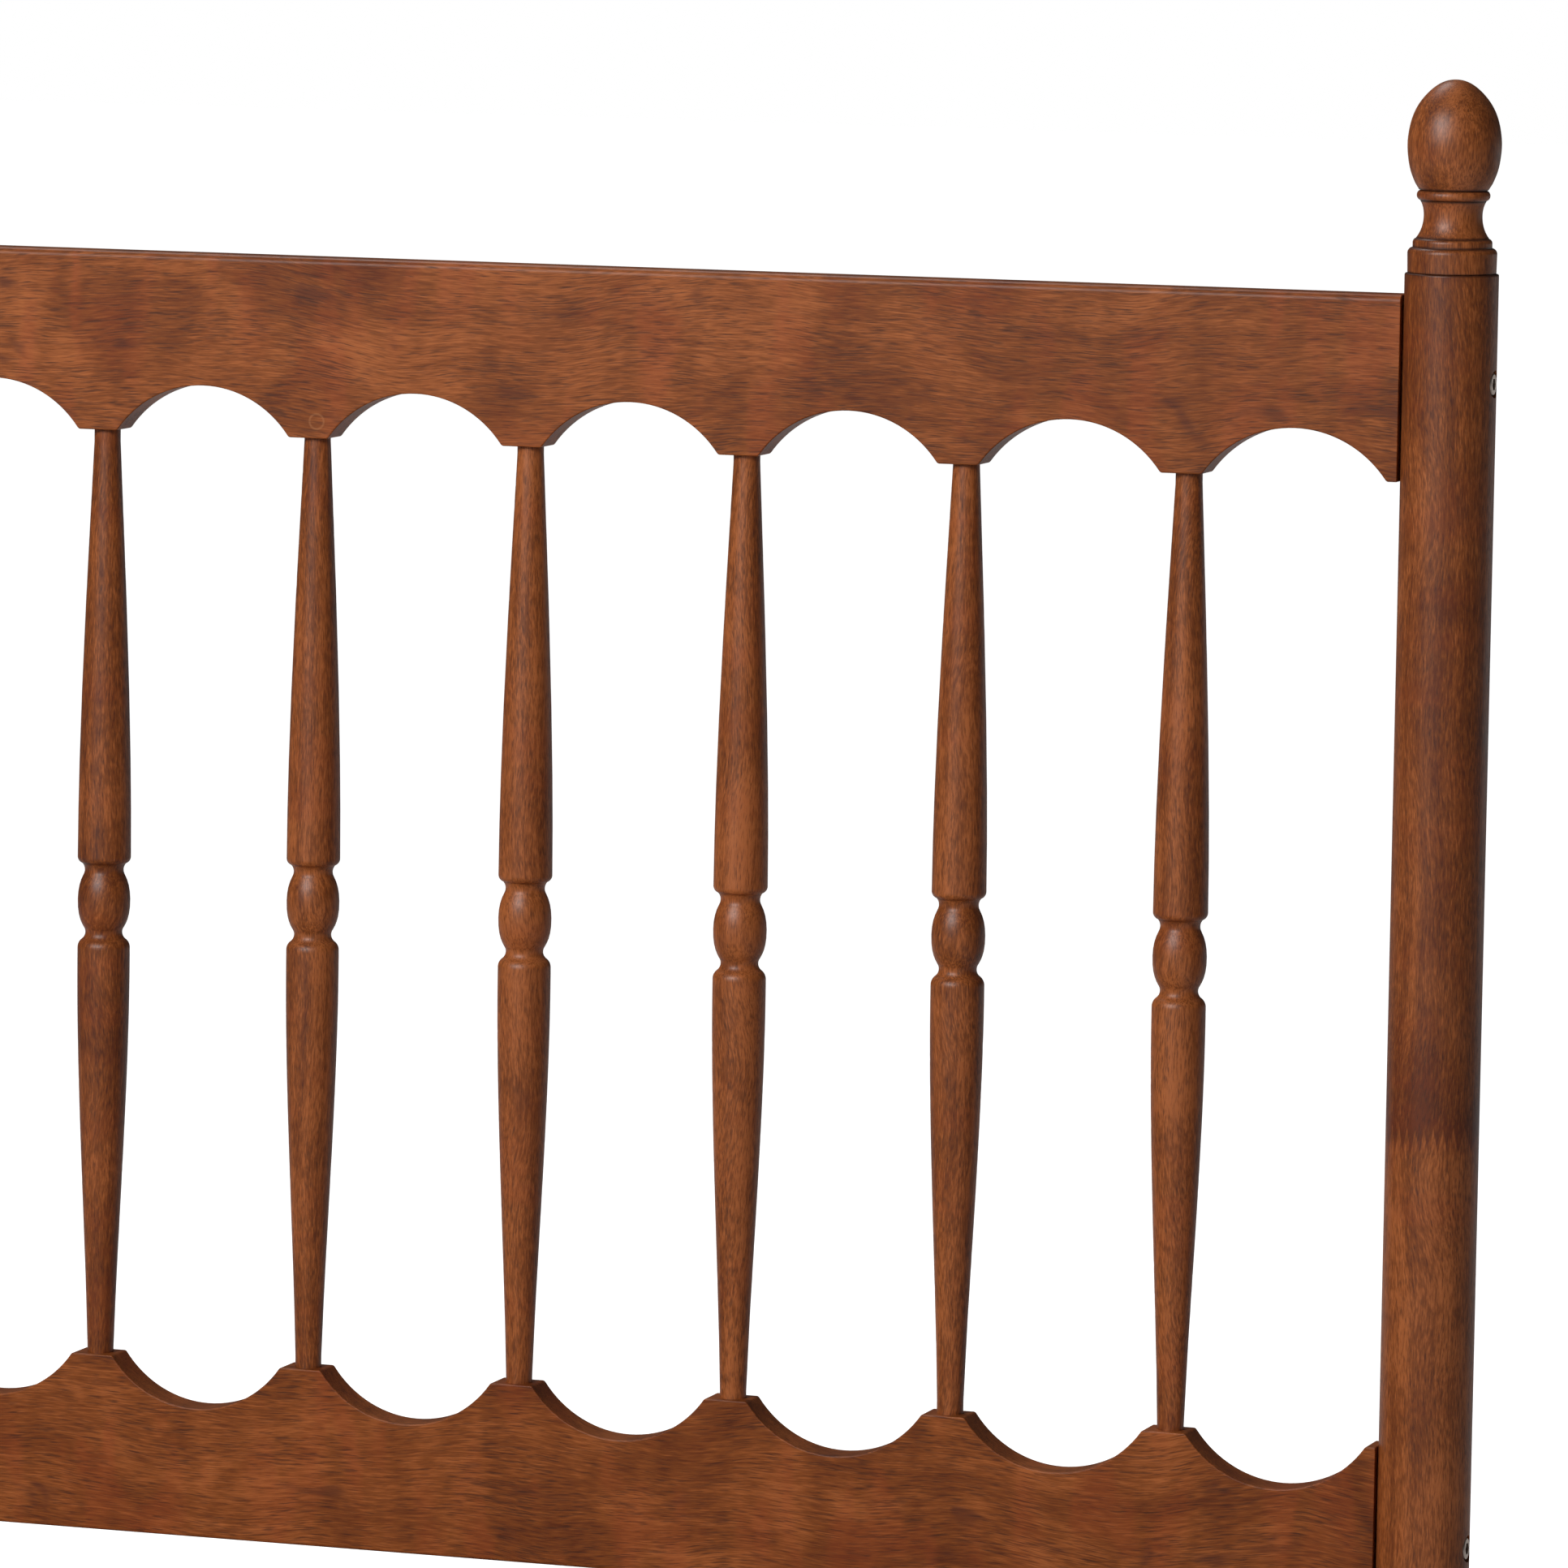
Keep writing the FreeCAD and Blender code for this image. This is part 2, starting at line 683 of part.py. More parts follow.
def cross_bolts():
    """Bolts along X through the posts into the head's and the foot's rails."""
    bolts = []
    for end in (-1, 1):
        for side in (-1, 1):
            start = side * (post_x + post_radius - counterbore_depth)
            turn = 180 if side == 1 else 0
            for height in end_bolt_heights(end):
                bolts.append(placed(master_bolt, point(start, end * post_y, height), UP, turn))
    return bolts


def side_bolts():
    """Bolts along Y through the posts into the side rails."""
    bolts = []
    for end in (-1, 1):
        for side in (-1, 1):
            start = end * (post_y + post_radius - counterbore_depth)
            for height in side_bolt_heights():
                bolts.append(placed(master_bolt, point(side * post_x, start, height), UP, -90 * end))
    return bolts


def barrel_nuts():
    nuts = []
    nut_length = nut_hole_depth - nut_below_face
    for end in (-1, 1):
        for side in (-1, 1):
            for height in end_bolt_heights(end):
                x = side * (rail_half_length - nut_from_rail_end)
                y = end * post_y + rail_thickness / 2 - nut_hole_depth
                nut = rod(point(x, y, height), BACK, nut_diameter, nut_length)
                bore_start = point(x - nut_diameter, end * post_y, height)
                nuts.append(nut.cut(rod(bore_start, RIGHT, bolt_diameter, 2 * nut_diameter)))
            for height in side_bolt_heights():
                x = side * (side_rail_inner_x + nut_hole_depth)
                y = end * (side_rail_half_length - nut_from_rail_end)
                nut = rod(point(x, y, height), RIGHT * -side, nut_diameter, nut_length)
                bore_start = point(side * post_x, y - nut_diameter, height)
                nuts.append(nut.cut(rod(bore_start, BACK, bolt_diameter, 2 * nut_diameter)))
    return nuts


def dowels():
    pegs = []
    length = dowel_in_post + dowel_in_rail
    for end in (-1, 1):
        for side in (-1, 1):
            outward = RIGHT * side
            for bolt_height in end_bolt_heights(end):
                for height in dowel_heights(bolt_height):
                    start = outward * (rail_half_length - dowel_in_rail) + point(0, end * post_y, height)
                    pegs.append(rod(start, outward, dowel_diameter, length))
            start = point(side * post_x, end * (side_rail_half_length - dowel_in_rail), side_rail_middle)
            pegs.append(rod(start, BACK * end, dowel_diameter, length))
    return pegs


def corners():
    """Name, side and end of each corner of the bed."""
    return [
        ("head", "left", -1, 1),
        ("head", "right", 1, 1),
        ("foot", "left", -1, -1),
        ("foot", "right", 1, -1),
    ]


def post_top(end):
    return head_post_top if end == 1 else foot_post_top


def corner_place(side, end, height=0.0):
    return point(side * post_x, end * post_y, height)


def main():
    os.makedirs("parts", exist_ok=True)
    for end_name, side_name, side, end in corners():
        save(end_name + "_post_" + side_name, [placed(post(side, end), corner_place(side, end))])
        finial_place = corner_place(side, end, post_top(end))
        save(end_name + "_finial_" + side_name, [placed(finial(), finial_place)])

    save("head_top_rail", [upper_rail(head_upper_cusp, 1)])
    save("head_lower_rail", [lower_rail(head_lower_cusp, 1)])
    save("head_bottom_rail", [bottom_rail()])
    save("foot_top_rail", [upper_rail(foot_upper_cusp, -1)])
    save("foot_lower_rail", [lower_rail(foot_lower_cusp, -1)])

    head_coves = (upper_cove, lower_cove)
    foot_coves = (foot_upper_cove, foot_lower_cove)
    head_spindle = turned_spindle(
        head_spindle_length, upper_taper, lower_taper, head_bead_drop, head_coves, head_bead)
    foot_spindle = turned_spindle(
        foot_spindle_length, foot_taper, foot_taper, foot_bead_drop, foot_coves, foot_bead)
    for number, (x, shift) in enumerate(zip(spindle_places(), head_spindle_shifts), start=1):
        save("head_spindle_%02d" % number, [placed(head_spindle, point(x, post_y, head_upper_cusp + shift))])
        save("foot_spindle_%02d" % number, [placed(foot_spindle, point(x, -post_y, foot_upper_cusp))])

    for side_name, side in (("left", -1), ("right", 1)):
        save("side_rail_" + side_name, [side_rail(side)])
        save("slat_ledger_" + side_name, [ledger(side)])

    save("slats", slats())
    save("centre_beam", [centre_beam()])
    save("beam_brackets", [beam_bracket(1), beam_bracket(-1)])
    for number, y in enumerate(leg_places(), start=1):
        save("centre_leg_%d" % number, [placed(centre_leg(), point(0, y, 0))])

    save("cross_bolts", cross_bolts())
    save("side_rail_bolts", side_bolts())
    save("barrel_nuts", barrel_nuts())
    save("dowels", dowels())
    finial_studs = []
    for _, _, side, end in corners():
        start = corner_place(side, end, post_top(end) - stud_half_length)
        finial_studs.append(rod(start, UP, stud_diameter, 2 * stud_half_length))
    save("finial_studs", finial_studs)
    leg_studs = [
        rod(point(0, y, beam_bottom - leg_stud_half_length), UP, stud_diameter, 2 * leg_stud_half_length)
        for y in leg_places()
    ]
    save("leg_studs", leg_studs)
    save("slat_screws", placed_slat_screws())
    save("ledger_screws", placed_ledger_screws(-1) + placed_ledger_screws(1))
    save("bracket_screws", placed_wing_screws() + placed_cheek_screws())
    save("post_glides", [placed(glide(), corner_place(side, end)) for _, _, side, end in corners()])
    save("leg_glides", [placed(glide(), point(0, y, 0)) for y in leg_places()])


main()
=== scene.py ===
import bmesh
import bpy
import math
from mathutils import Matrix, Vector


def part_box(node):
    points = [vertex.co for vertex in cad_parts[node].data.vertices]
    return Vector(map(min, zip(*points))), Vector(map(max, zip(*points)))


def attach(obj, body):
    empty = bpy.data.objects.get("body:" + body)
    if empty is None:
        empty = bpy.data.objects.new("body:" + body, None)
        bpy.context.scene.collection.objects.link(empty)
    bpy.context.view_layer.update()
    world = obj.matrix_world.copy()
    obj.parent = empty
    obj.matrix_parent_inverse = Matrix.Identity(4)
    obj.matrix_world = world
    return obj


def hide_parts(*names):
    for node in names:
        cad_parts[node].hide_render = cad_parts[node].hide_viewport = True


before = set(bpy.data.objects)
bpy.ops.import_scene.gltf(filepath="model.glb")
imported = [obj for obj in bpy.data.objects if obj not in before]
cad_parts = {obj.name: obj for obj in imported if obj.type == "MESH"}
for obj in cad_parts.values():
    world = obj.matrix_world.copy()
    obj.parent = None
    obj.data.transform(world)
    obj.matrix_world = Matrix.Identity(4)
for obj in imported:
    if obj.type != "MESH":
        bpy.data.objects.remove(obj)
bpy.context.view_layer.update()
print("frame loaded:", len(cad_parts), "nodes")


def srgb(red, green, blue):
    # 0-255 values as a colour picker shows them, turned into scene linear
    def toLinear(value):
        value = value / 255
        return value / 12.92 if value <= 0.04045 else ((value + 0.055) / 1.055) ** 2.4
    return (toLinear(red), toLinear(green), toLinear(blue), 1.0)


# a Wire is a node's output that can be used in sums
class Wire:
    def __init__(self, finish, socket):
        self.finish = finish
        self.socket = socket

    def __add__(self, other):
        return self.finish.sum("ADD", self, other)

    def __radd__(self, other):
        return self.finish.sum("ADD", other, self)

    def __sub__(self, other):
        return self.finish.sum("SUBTRACT", self, other)

    def __rsub__(self, other):
        return self.finish.sum("SUBTRACT", other, self)

    def __mul__(self, other):
        return self.finish.sum("MULTIPLY", self, other)

    def __rmul__(self, other):
        return self.finish.sum("MULTIPLY", other, self)

    def other(self, output):
        return Wire(self.finish, self.socket.node.outputs[output])

    def above(self, start, end):
        # 0 below start, 1 past end, smooth between
        return self.finish.add("ShaderNodeMapRange", {"interpolation_type": "SMOOTHSTEP"},
                               {"Value": self, "From Min": start, "From Max": end})


class Finish:
    def __init__(self, name, tree=None):
        if tree is None:
            self.material = bpy.data.materials.new(name)
            self.material.use_nodes = True
            tree = self.material.node_tree
        self.tree = tree
        self.tree.nodes.clear()

    def add(self, kind, settings=None, sockets=None, out=0):
        node = self.tree.nodes.new(kind)
        for key, value in (settings or {}).items():
            if key == "stops":
                self.fillRamp(node.color_ramp, value)
            else:
                setattr(node, key, value)
        for key, value in (sockets or {}).items():
            if isinstance(value, Wire):
                self.tree.links.new(value.socket, node.inputs[key])
            else:
                node.inputs[key].default_value = value
        return Wire(self, node.outputs[out]) if len(node.outputs) else None

    def fillRamp(self, ramp, stops):
        while len(ramp.elements) < len(stops):
            ramp.elements.new(0.5)
        for element, (position, colour) in zip(ramp.elements, stops):
            element.position = position
            element.color = colour

    def sum(self, operation, a, b=0.0):
        return self.add("ShaderNodeMath", {"operation": operation}, {0: a, 1: b})

    def mixColour(self, share, a, b, blend="MIX"):
        # sockets 6 and 7 are the colour inputs of the Mix node, output 2 its colour
        return self.add("ShaderNodeMix", {"data_type": "RGBA", "blend_type": blend},
                        {0: share, 6: a, 7: b}, out=2)

    def split(self, vector):
        node = self.tree.nodes.new("ShaderNodeSeparateXYZ")
        self.tree.links.new(vector.socket, node.inputs[0])
        return [Wire(self, output) for output in node.outputs]

    def join(self, x, y, z):
        return self.add("ShaderNodeCombineXYZ", {}, {0: x, 1: y, 2: z})

    def noise(self, vector, detail=2.0, roughness=0.5, distortion=0.0):
        return self.add("ShaderNodeTexNoise", {"noise_dimensions": "3D"},
                        {"Vector": vector, "Scale": 1.0, "Detail": detail,
                         "Roughness": roughness, "Distortion": distortion})

    def place(self):
        return self.add("ShaderNodeTexCoord", {}, {}, out="Object")

    def surface(self, sockets):
        shader = self.add("ShaderNodeBsdfPrincipled", {}, sockets)
        self.add("ShaderNodeOutputMaterial", {}, {0: shader})
        return self.material


stain = {
    "light": srgb(166, 94, 48),
    "middle": srgb(127, 67, 27),
    "dark": srgb(92, 42, 17),
    "pore": srgb(48, 23, 14),
    "smudge": srgb(82, 40, 26),
    "russet": srgb(138, 58, 30),
    "blotchAcross": 19.0,        # all of these are cells per metre, across and along the grain
    "blotchAlong": 13.0,
    "bandAcross": 12.0,
    "bandAlong": 46.0,
    "stripeAcross": 115.0,
    "stripeAlong": 1.6,
    "flameAcross": 380.0,
    "flameAlong": 34.0,
    "fibreAcross": 1150.0,
    "fibreAlong": 80.0,
    "dashAcross": 1600.0,
    "dashAlong": 95.0,
    "boldPore": (760.0, 64.0, 0.22, 0.62),     # across, along, size in its cell, share left out
    "poreDepth": 0.00008,
    "roughness": 0.42,
}


def grainPlace(finish, grain, origin=(0.0, 0.0, 0.0)):
    # the place in metres as (across, across, along the grain)
    x, y, z = finish.split(finish.place())
    x, y, z = x + origin[0], y + origin[1], z + origin[2]
    return {"x": (z, y, x), "y": (z, x, y), "z": (x, y, z)}[grain]


def pores(finish, wide, deep, along, crowd, size):
    # thin dark dashes along the grain, left out here and there where crowd is low
    across, lengthwise, reach, gaps = size
    cells = finish.add("ShaderNodeTexVoronoi", {"feature": "F1"}, {
        "Vector": finish.join(wide * across, deep * across, along * lengthwise), "Scale": 1.0})
    chance = finish.split(cells.other("Color"))[0]
    kept = (chance + crowd).above(gaps, gaps + 0.06)
    return kept * (1 - cells.above(reach * 0.45, reach))


# how strongly each layer of figure shows on boards and on turned stock
boardFigure = {
    "blotch": 0.80, "band": 0.36, "stripe": 0.35, "flame": 0.45, "fibre": 0.95, "dash": 0.62, "bold": 0.45,
    "russet": 0.28, "smudge": 0.6, "shortness": 1.0, "specular": 0.24,
}
turnedFigure = {
    "blotch": 0.70, "band": 0.15, "stripe": 0.75, "flame": 0.30, "fibre": 1.30, "dash": 0.50, "bold": 0.25,
    "russet": 0.15, "smudge": 0.3, "shortness": 1.9, "specular": 0.40,
}


def stainedWood(name, grain, tone=0.0, origin=(0.0, 0.0, 0.0), figure=boardFigure, jointHeight=None, mark=None,
                shadedSeams=()):
    finish = Finish(name)
    wide, deep, along = grainPlace(finish, grain, origin)
    lean = finish.noise(finish.join(wide * 7.0, deep * 7.0, along * 6.0), 1.0)
    waver = finish.noise(finish.join(wide * 24.0, deep * 24.0, along * 13.0), 1.0)
    wide = wide + (lean - 0.5) * 0.040 + (waver - 0.5) * 0.009

    def cloud(across, lengthwise, detail=2.0, roughness=0.5, distortion=0.0, shift=0.0):
        vector = finish.join(wide * across + shift, deep * across, along * lengthwise)
        return finish.noise(vector, detail, roughness, distortion) - 0.5

    blotch = cloud(stain["blotchAcross"], stain["blotchAlong"], 2.0, 0.55, 0.7)
    band = cloud(stain["bandAcross"], stain["bandAlong"], 1.0, 0.5, 0.4, 31.0)
    stripe = cloud(stain["stripeAcross"], stain["stripeAlong"], 2.0, 0.6, 0.2, 5.0)
    flame = cloud(stain["flameAcross"], stain["flameAlong"], 2.0, 0.55, 0.2, 3.0)
    fibre = cloud(stain["fibreAcross"], stain["fibreAlong"] * figure["shortness"], 2.0, 0.65, 0.0, 9.0)
    crowd = cloud(52.0, 13.0, 2.0, 0.6, 0.3, 14.0)
    smudge = cloud(48.0, 24.0, 2.0, 0.6, 0.6, 21.0)

    shade = blotch * figure["blotch"] + band * figure["band"] + stripe * figure["stripe"]
    shade = shade + flame * figure["flame"] + fibre * figure["fibre"] + (0.5 + tone)
    if jointHeight is not None:
        shade = shade + fingerJoint(finish, jointHeight)
    colour = finish.add("ShaderNodeValToRGB", {"stops": [
        (0.18, stain["dark"]), (0.50, stain["middle"]), (0.82, stain["light"])]}, {"Fac": shade})
    colour = finish.mixColour((band - blotch * 0.5).above(-0.02, 0.22) * figure["russet"], colour, stain["russet"])
    colour = finish.mixColour(smudge.above(0.10, 0.26) * figure["smudge"], colour, stain["smudge"])
    if mark is not None:
        colour = finish.mixColour(fillerMark(finish, mark) * 0.35, colour, srgb(176, 118, 76))
    dash = cloud(stain["dashAcross"], stain["dashAlong"] * figure["shortness"], 1.0, 0.5, 0.0, 40.0)
    dash = (dash + crowd * 0.35).above(0.02, 0.24)
    bold = pores(finish, wide, deep, along, crowd * 1.5, stain["boldPore"])
    colour = finish.mixColour(dash * figure["dash"], colour, stain["pore"])
    colour = finish.mixColour(bold * figure["bold"], colour, stain["pore"])
    height = finish.split(finish.place())[2]
    for seam in shadedSeams:       # painted shade: the wood is darkened in the turned corners and in the joint under the finial, where shade falls
        near = 1 - finish.sum("ABSOLUTE", height - seam).above(0.0003, 0.0013)
        colour = finish.mixColour(near * 0.75, colour, stain["pore"])

    bump = finish.add("ShaderNodeBump", {}, {
        "Strength": 0.3, "Distance": stain["poreDepth"], "Height": fibre * 0.4 - bold * 0.6 - dash * 0.6})
    return finish.surface({
        "Base Color": colour,
        "Roughness": stain["roughness"] + blotch * 0.12 + dash * 0.08,
        "Normal": bump,
        "Specular IOR Level": figure["specular"],
    })


fingers = {
    "pitch": 0.0049,
    "length": 0.0135,
    "aboveTone": -0.08,
    "belowTone": 0.06,
    "shadowTone": -0.20,        # the upper stock is darkest next to the joint
    "shadowHeight": 0.075,
    "glueTone": -0.09,
}


def fingerJoint(finish, height):
    # glued-up stock: darker wood above a zigzag joint, redder and lighter wood below it
    x, y, z = finish.split(finish.place())
    wave = finish.sum("PINGPONG", x, fingers["pitch"] / 2) * (2 / fingers["pitch"])
    past = z - height - wave * fingers["length"]
    upper = past.above(-0.0003, 0.0003)
    glue = 1 - finish.sum("ABSOLUTE", past).above(0.0008, 0.0028)
    shadow = 1 - (z - height).above(0.0, fingers["shadowHeight"])
    tone = upper * (fingers["aboveTone"] - fingers["belowTone"] + shadow * fingers["shadowTone"])
    return tone + glue * fingers["glueTone"] + fingers["belowTone"]


def fillerMark(finish, mark):
    # a faint pale ring where a pin knot was filled
    x, y, z = finish.split(finish.place())
    distance = finish.sum("SQRT", (x - mark[0]) * (x - mark[0]) + (z - mark[1]) * (z - mark[1]))
    off = finish.sum("ABSOLUTE", distance - mark[2])
    return 1 - off.above(0.0002, 0.0009)


def bareWood(name, grain):
    finish = Finish(name)
    wide, deep, along = grainPlace(finish, grain)
    rings = finish.noise(finish.join(wide * 60, deep * 60, along * 2.0), 3.0, 0.55, 1.2)
    fibres = finish.noise(finish.join(wide * 700, deep * 700, along * 14), 2.0, 0.6)
    knotPlace = finish.join(wide * 9, deep * 9, along * 5)
    knot = finish.add("ShaderNodeTexVoronoi", {"feature": "F1"}, {"Vector": knotPlace, "Scale": 1.0})
    knotMask = 1 - knot.above(0.07, 0.14)
    colour = finish.add("ShaderNodeValToRGB", {"stops": [
        (0.35, srgb(214, 184, 140)), (0.5, srgb(203, 168, 121)), (0.62, srgb(182, 142, 94))]},
        {"Fac": rings + fibres * 0.1 - 0.05})
    colour = finish.mixColour(knotMask * 0.8, colour, srgb(120, 78, 44))
    bump = finish.add("ShaderNodeBump", {}, {"Strength": 0.4, "Distance": 0.0002, "Height": fibres})
    return finish.surface({"Base Color": colour, "Roughness": 0.62 + fibres * 0.12, "Normal": bump})


def zincSteel(name):
    finish = Finish(name)
    spot = finish.noise(finish.add("ShaderNodeVectorMath", {"operation": "SCALE"},
                                   {0: finish.place(), "Scale": 420.0}), 3.0)
    colour = finish.mixColour(spot.above(0.35, 0.7), srgb(176, 160, 148), srgb(208, 192, 178))
    return finish.surface({"Base Color": colour, "Metallic": 1.0, "Roughness": 0.30 + spot * 0.16})


def blackCoat(name):
    finish = Finish(name)
    grit = finish.noise(finish.add("ShaderNodeVectorMath", {"operation": "SCALE"},
                                   {0: finish.place(), "Scale": 1800.0}), 1.0)
    bump = finish.add("ShaderNodeBump", {}, {"Strength": 0.3, "Distance": 0.0001, "Height": grit})
    return finish.surface({"Base Color": srgb(30, 30, 32), "Roughness": 0.5 + grit * 0.1, "Normal": bump})


def brownPlastic(name):
    finish = Finish(name)
    grit = finish.noise(finish.add("ShaderNodeVectorMath", {"operation": "SCALE"},
                                   {0: finish.place(), "Scale": 1400.0}), 1.0)
    bump = finish.add("ShaderNodeBump", {}, {"Strength": 0.25, "Distance": 0.0001, "Height": grit})
    return finish.surface({"Base Color": srgb(70, 48, 36), "Roughness": 0.48 + grit * 0.1, "Normal": bump})


def paint(node, material):
    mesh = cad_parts[node].data
    mesh.materials.clear()
    mesh.materials.append(material)


headRailWood = stainedWood("headRailWood", "x", tone=0.01, mark=(0.1305, 1.0925, 0.0042))
crossRailWood = stainedWood("crossRailWood", "x", tone=-0.02)
sideRailWood = stainedWood("sideRailWood", "y")
seats = {"head": 1.196, "foot": 0.620}            # the heights that the finials stand at
corners = (0.0, 0.0139, 0.0189, 0.0389, 0.0449)   # a finial's inner corners above its seat
# each finial gets painted shade at its seat and at its inner corners
finialWoods = {
    end: stainedWood(end + "FinialWood", "z", 0.09, figure=turnedFigure, shadedSeams=[seat + corner for corner in corners])
    for end, seat in seats.items()
}
postJoints = {
    "head_post_right": (0.7219, 0.03),
    "head_post_left": (0.842, 0.02),
    "foot_post_right": (0.296, -0.02),
    "foot_post_left": (0.381, 0.0),
}
# each turned stick was cut from its own piece of stock: its tone and where in the wood it lies
sticks = [
    stainedWood("stickWood" + str(number), "z", tone, (number * 0.31, number * 0.17, number * 0.77), turnedFigure)
    for number, tone in enumerate((-0.01, 0.06, 0.12, 0.16, 0.09, 0.11))
]
bareAcross = bareWood("bareWoodAcross", "x")
bareLengthwise = bareWood("bareWoodLengthwise", "y")
steel = zincSteel("zincSteel")
coat = blackCoat("blackCoat")
plastic = brownPlastic("brownPlastic")

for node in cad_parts:
    if node in postJoints:
        height, tone = postJoints[node]
        # each post gets painted shade at the seam under its finial
        paint(node, stainedWood(node + "Wood", "z", tone, figure=turnedFigure, jointHeight=height,
                                shadedSeams=[seats[node[:4]]]))
    elif "spindle_" in node:
        paint(node, sticks[int(node[-2:]) % len(sticks)])
    elif node.startswith("centre_leg"):
        paint(node, sticks[int(node[-1])])
    elif "finial_" in node and "studs" not in node:
        paint(node, finialWoods[node[:4]])
    elif node == "head_top_rail":
        paint(node, headRailWood)
    elif node in ("head_lower_rail", "head_bottom_rail", "foot_top_rail", "foot_lower_rail"):
        paint(node, crossRailWood)
    elif node.startswith("side_rail_") and node != "side_rail_bolts":
        paint(node, sideRailWood)
    elif node in ("slats", "dowels"):
        paint(node, bareAcross)
    elif node.startswith("slat_ledger") or node == "centre_beam":
        paint(node, bareLengthwise)
    elif node == "beam_brackets":
        paint(node, coat)
    elif node.endswith("glides"):
        paint(node, plastic)
    else:
        paint(node, steel)
print("pieces dressed")


# the four scalloped rails again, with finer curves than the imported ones
rail = {
    "pitch": 0.127,
    "arches": 12,
    "halfLength": 0.7544,
    "thickness": 0.022,
    "height": 0.101,
    "archRise": 0.0271,
    "cuspCorner": 0.0022,
    "rimRound": 0.0008,
    "endRound": 0.0005,
    "nutFromEnd": 0.045,
    "nutFromCusp": 0.054,
    "nutHole": (0.005, 0.017),       # radius and depth
    "upper": {"cuspWidth": 0.0234, "cuspShift": -0.0017, "farRound": 0.004},
    "lower": {"cuspWidth": 0.0247, "cuspShift": -0.0009, "farRound": 0.002},
}


def scallopStations(cut):
    # along the board from left to right: x, z and outward direction of the scalloped edge, and how far it is eased
    halfChord = (rail["pitch"] - cut["cuspWidth"]) / 2
    rise, corner, half, ease = rail["archRise"], rail["cuspCorner"], rail["halfLength"], rail["endRound"]
    radius = (halfChord ** 2 + rise ** 2) / (2 * rise)
    below = radius - rise
    reach = math.sqrt((radius + corner) ** 2 - (corner + below) ** 2)
    lean = math.asin(reach / (radius + corner))
    turns = [math.radians(angle) for angle in (0, 30, 60, 90)]
    stations = [(-half + ease * (1 - math.cos(a)), 0.0, (0.0, -1.0), ease * (1 - math.sin(a))) for a in turns]
    for arch in range(rail["arches"]):
        middle = (arch + 0.5 - rail["arches"] / 2) * rail["pitch"] + cut["cuspShift"]
        for step in range(6):
            a = lean * step / 6
            stations.append((middle - reach + corner * math.sin(a), corner * (1 - math.cos(a)),
                             (math.sin(a), -math.cos(a)), 0.0))
        for step in range(33):
            a = lean * (step / 16 - 1)
            stations.append((middle + radius * math.sin(a), radius * math.cos(a) - below,
                             (-math.sin(a), -math.cos(a)), 0.0))
        for step in range(5, -1, -1):
            a = lean * step / 6
            stations.append((middle + reach - corner * math.sin(a), corner * (1 - math.cos(a)),
                             (-math.sin(a), -math.cos(a)), 0.0))
    stations += [(half - ease * (1 - math.cos(a)), 0.0, (0.0, -1.0), ease * (1 - math.sin(a))) for a in reversed(turns)]
    return stations


def scallopRing(station, cut):
    # the board's section at one station, from the scalloped edge up the front and down the back
    x, z, (outX, outZ), ease = station
    halfThick = rail["thickness"] / 2 - ease
    rim, far = rail["rimRound"] - ease, cut["farRound"] - ease
    front = []
    for step in range(5):
        a = math.pi / 2 * step / 4
        inward = ease + rim * (1 - math.cos(a))
        front.append((x - outX * inward, halfThick - rim * (1 - math.sin(a)), z - outZ * inward))
    for step in range(7):
        a = math.pi / 2 * step / 6
        front.append((x, halfThick - far * (1 - math.cos(a)), rail["height"] - ease - far * (1 - math.sin(a))))
    return [(px, -py, pz) for px, py, pz in front] + list(reversed(front))


def nutDrill(node, y, cusp, over):
    # two rods where the barrel nuts go in by the back face
    radius, depth = rail["nutHole"]
    drill = bmesh.new()
    for side in (-1, 1):
        x = side * (rail["halfLength"] - rail["nutFromEnd"])
        place = Matrix.Translation((x, y + rail["thickness"] / 2, cusp + over * rail["nutFromCusp"]))
        bmesh.ops.create_cone(drill, cap_ends=True, segments=48, radius1=radius, radius2=radius, depth=2 * depth,
                              matrix=place @ Matrix.Rotation(math.pi / 2, 4, "X"))
    mesh = bpy.data.meshes.new(node + "_drill")
    drill.to_mesh(mesh)
    drill.free()
    return bpy.data.objects.new(node + "_drill", mesh)


def makeRail(node, cut, material):
    low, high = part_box(node)
    over = 1 if cut == "upper" else -1          # a lower rail is the same board turned over
    y, cusp = (low.y + high.y) / 2, low.z if over == 1 else high.z
    rings = [scallopRing(station, rail[cut]) for station in scallopStations(rail[cut])]
    count = len(rings[0])
    points = [(px, y + py, cusp + over * pz) for ring in rings for px, py, pz in ring]
    faces = [tuple(range(count)), tuple((len(rings) - 1) * count + index for index in range(count))]
    for ring in range(len(rings) - 1):
        for index in range(count):
            after = (index + 1) % count
            faces.append((ring * count + index, ring * count + after,
                          (ring + 1) * count + after, (ring + 1) * count + index))
    mesh = bpy.data.meshes.new(node + "_board")
    mesh.from_pydata(points, [], faces)
    shape = bmesh.new()
    shape.from_mesh(mesh)
    bmesh.ops.recalc_face_normals(shape, faces=shape.faces)
    shape.to_mesh(mesh)
    shape.free()
    piece = bpy.data.objects.new(node + "_board", mesh)
    drill = nutDrill(node, y, cusp, over)
    for made in (piece, drill):
        bpy.context.scene.collection.objects.link(made)
    bore = piece.modifiers.new("nutHoles", "BOOLEAN")
    bore.object, bore.operation, bore.solver = drill, "DIFFERENCE", "EXACT"
    settle(piece)
    bpy.data.objects.remove(drill)
    piece.data.shade_smooth()
    piece.data.set_sharp_from_angle(angle=math.radians(32))
    even = piece.modifiers.new("evenNormals", "WEIGHTED_NORMAL")
    even.keep_sharp = True
    settle(piece)
    piece.data.materials.clear()
    piece.data.materials.append(material)
    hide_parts(node)
    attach(piece, "root")


